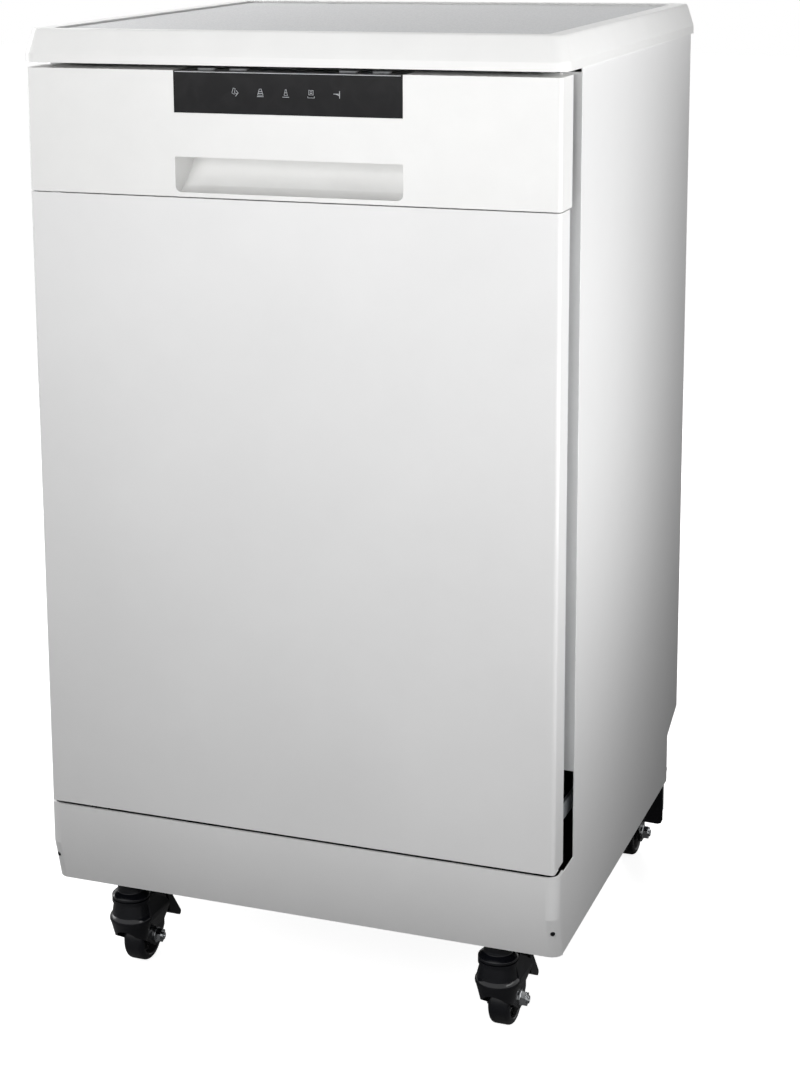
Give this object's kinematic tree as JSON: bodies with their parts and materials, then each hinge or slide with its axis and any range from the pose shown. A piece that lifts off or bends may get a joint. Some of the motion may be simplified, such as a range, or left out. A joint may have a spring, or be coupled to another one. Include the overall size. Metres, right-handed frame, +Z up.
{
  "type": "portable dishwasher",
  "caption": "Floor-standing portable dishwasher on casters with a drop-down door, pull-out wire racks, spray arms and a pocket-handle console.",
  "frame": {"origin": "on the floor under the middle of the worktop, which is the widest and deepest piece", "axes": "+Z up, the door faces -Y, +X to the viewer's right when facing the door"},
  "size_m": [0.533, 0.532, 0.965],
  "materials": {
    "enamel": "smooth satin enamel",
    "worktop_white": "satin",
    "worktop_grey": "fine satin laminate",
    "fascia_white": "satin",
    "window_black": "high gloss",
    "black_plastic": "moulded",
    "caster_black": "semi-gloss",
    "galvanised": "zinc coated",
    "stainless": "brushed",
    "rack_wire": "nylon coated",
    "gasket_rubber": "matt",
    "tyre_rubber": "matt",
    "chrome": "polished",
    "nylon_grey": "moulded",
    "dispenser_grey": "moulded",
    "button_grey": "satin",
    "board_green": "laminate"
  },
  "bodies": {
    "cabinet": {"base_chassis": "black_plastic", "side_panel_left": "enamel", "side_panel_right": "enamel", "kick_plate": "enamel", "rear_panel": "galvanised", "worktop_frame": "worktop_white", "worktop_panel": "worktop_grey", "tub": "stainless", "tub_gasket": "gasket_rubber", "upper_rails": "stainless", "sump": "black_plastic", "filter_plate": "stainless", "wash_pump": "galvanised", "drain_pump": "black_plastic", "inlet_valve": "black_plastic", "drain_spigot": "black_plastic", "cord_gland": "black_plastic", "air_break": "nylon_grey", "feed_tube": "nylon_grey", "hinge_brackets": "galvanised", "door_strike": "stainless", "caster_plates": "caster_black", "rear_brackets": "caster_black", "rear_axles": "chrome"},
    "door": {"door_panel": "enamel", "console": "fascia_white", "display_window": "window_black", "door_liner": "stainless", "hinge_arms": "galvanised", "latch": "nylon_grey", "control_board": "board_green", "dispenser_body": "nylon_grey"},
    "upper_basket": {"upper_rack": "rack_wire", "rack_slides": "nylon_grey", "upper_manifold": "nylon_grey"},
    "lower_basket": {"lower_rack": "rack_wire", "cutlery_basket": "nylon_grey"},
    "fork_left": {"caster_fork_left": "caster_black", "caster_axle_left": "chrome"},
    "fork_right": {"caster_fork_right": "caster_black", "caster_axle_right": "chrome"},
    "filter_cup": {"filter_cup": "nylon_grey"},
    "float_cap": {"float_cap": "nylon_grey"},
    "brake_pedal_left": {"brake_pedal_left": "caster_black"},
    "brake_pedal_right": {"brake_pedal_right": "caster_black"},
    "wheel_front_left": {"wheel_front_left": "tyre_rubber"},
    "wheel_front_right": {"wheel_front_right": "tyre_rubber"},
    "wheel_rear_left": {"wheel_rear_left": "tyre_rubber"},
    "wheel_rear_right": {"wheel_rear_right": "tyre_rubber"},
    "button_power": {"button_power": "button_grey"},
    "button_program": {"button_program": "button_grey"},
    "button_delay": {"button_delay": "button_grey"},
    "button_start": {"button_start": "button_grey"},
    "dispenser_lid": {"dispenser_lid": "dispenser_grey"},
    "rinse_cap": {"rinse_cap": "black_plastic"},
    "upper_spray_arm": {"upper_spray_arm": "nylon_grey"},
    "lower_spray_arm": {"lower_spray_arm": "nylon_grey"},
    "cup_shelf": {"cup_shelf": "rack_wire"},
    "rack_wheels_front": {"rack_wheels_front": "nylon_grey"},
    "rack_wheels_rear": {"rack_wheels_rear": "nylon_grey"}
  },
  "joints": [
    {"name": "door_hinge", "type": "hinge", "parent": "cabinet", "child": "door", "pos_m": [0, -0.234, 0.238], "axis": [1, 0, 0], "range_deg": [0, 90]},
    {"name": "upper_rack_slide", "type": "slide", "parent": "cabinet", "child": "upper_basket", "axis": [0, -1, 0], "range_m": [0, 0.33]},
    {"name": "lower_rack_slide", "type": "slide", "parent": "cabinet", "child": "lower_basket", "axis": [0, -1, 0], "range_m": [0, 0.101]},
    {"name": "rack_wheels_front_spin", "type": "hinge", "parent": "lower_basket", "child": "rack_wheels_front", "pos_m": [0, -0.138, 0.2743], "axis": [1, 0, 0], "range_deg": [0, 444]},
    {"name": "rack_wheels_rear_spin", "type": "hinge", "parent": "lower_basket", "child": "rack_wheels_rear", "pos_m": [0, 0.18, 0.2743], "axis": [1, 0, 0], "range_deg": [0, 444]},
    {"name": "upper_arm_spin", "type": "hinge", "parent": "upper_basket", "child": "upper_spray_arm", "pos_m": [0, 0.013, 0.6122], "axis": [0, 0, 1], "continuous": true},
    {"name": "lower_arm_spin", "type": "hinge", "parent": "cabinet", "child": "lower_spray_arm", "pos_m": [0, 0.013, 0.279], "axis": [0, 0, 1], "continuous": true},
    {"name": "cup_shelf_hinge", "type": "hinge", "parent": "upper_basket", "child": "cup_shelf", "pos_m": [-0.2022, 0.013, 0.7477], "axis": [0, -1, 0], "range_deg": [0, 80]},
    {"name": "filter_twist", "type": "hinge", "parent": "cabinet", "child": "filter_cup", "pos_m": [0, -0.046, 0.23], "axis": [0, 0, 1], "range_deg": [0, 45]},
    {"name": "float_rise", "type": "slide", "parent": "cabinet", "child": "float_cap", "axis": [0, 0, 1], "range_m": [0, 0.005]},
    {"name": "dispenser_lid_slide", "type": "slide", "parent": "door", "child": "dispenser_lid", "axis": [-1, 0, 0], "range_m": [0, 0.06]},
    {"name": "rinse_cap_turn", "type": "hinge", "parent": "door", "child": "rinse_cap", "pos_m": [0.08, -0.21, 0.626], "axis": [0, -1, 0], "range_deg": [0, 90]},
    {"name": "button_power_press", "type": "slide", "parent": "door", "child": "button_power", "axis": [0, 0, -1], "range_m": [0, 0.001], "stiffness_N_per_m": 300},
    {"name": "button_program_press", "type": "slide", "parent": "door", "child": "button_program", "axis": [0, 0, -1], "range_m": [0, 0.001], "stiffness_N_per_m": 300},
    {"name": "button_delay_press", "type": "slide", "parent": "door", "child": "button_delay", "axis": [0, 0, -1], "range_m": [0, 0.001], "stiffness_N_per_m": 300},
    {"name": "button_start_press", "type": "slide", "parent": "door", "child": "button_start", "axis": [0, 0, -1], "range_m": [0, 0.001], "stiffness_N_per_m": 300},
    {"name": "caster_left_swivel", "type": "hinge", "parent": "cabinet", "child": "fork_left", "pos_m": [-0.196, -0.224, 0.09], "axis": [0, 0, 1], "continuous": true},
    {"name": "wheel_front_left_spin", "type": "hinge", "parent": "fork_left", "child": "wheel_front_left", "pos_m": [-0.196, -0.198, 0.027], "axis": [1, 0, 0], "continuous": true},
    {"name": "brake_left_press", "type": "hinge", "parent": "fork_left", "child": "brake_pedal_left", "pos_m": [-0.196, -0.1805, 0.0745], "axis": [-1, 0, 0], "range_deg": [0, 8]},
    {"name": "wheel_rear_left_spin", "type": "hinge", "parent": "cabinet", "child": "wheel_rear_left", "pos_m": [-0.217, 0.226, 0.027], "axis": [1, 0, 0], "continuous": true},
    {"name": "caster_right_swivel", "type": "hinge", "parent": "cabinet", "child": "fork_right", "pos_m": [0.196, -0.224, 0.09], "axis": [0, 0, 1], "continuous": true},
    {"name": "wheel_front_right_spin", "type": "hinge", "parent": "fork_right", "child": "wheel_front_right", "pos_m": [0.196, -0.198, 0.027], "axis": [1, 0, 0], "continuous": true},
    {"name": "brake_right_press", "type": "hinge", "parent": "fork_right", "child": "brake_pedal_right", "pos_m": [0.196, -0.1805, 0.0745], "axis": [-1, 0, 0], "range_deg": [0, 8]},
    {"name": "wheel_rear_right_spin", "type": "hinge", "parent": "cabinet", "child": "wheel_rear_right", "pos_m": [0.217, 0.226, 0.027], "axis": [1, 0, 0], "continuous": true}
  ],
  "couplings": [
    {"joint": "upper_rack_slide", "follows": "door_hinge", "m_per_rad": 0.21},
    {"joint": "lower_rack_slide", "follows": "door_hinge", "m_per_rad": 0.064},
    {"joint": "rack_wheels_front_spin", "follows": "door_hinge", "ratio": 4.9231},
    {"joint": "rack_wheels_rear_spin", "follows": "door_hinge", "ratio": 4.9231}
  ]
}
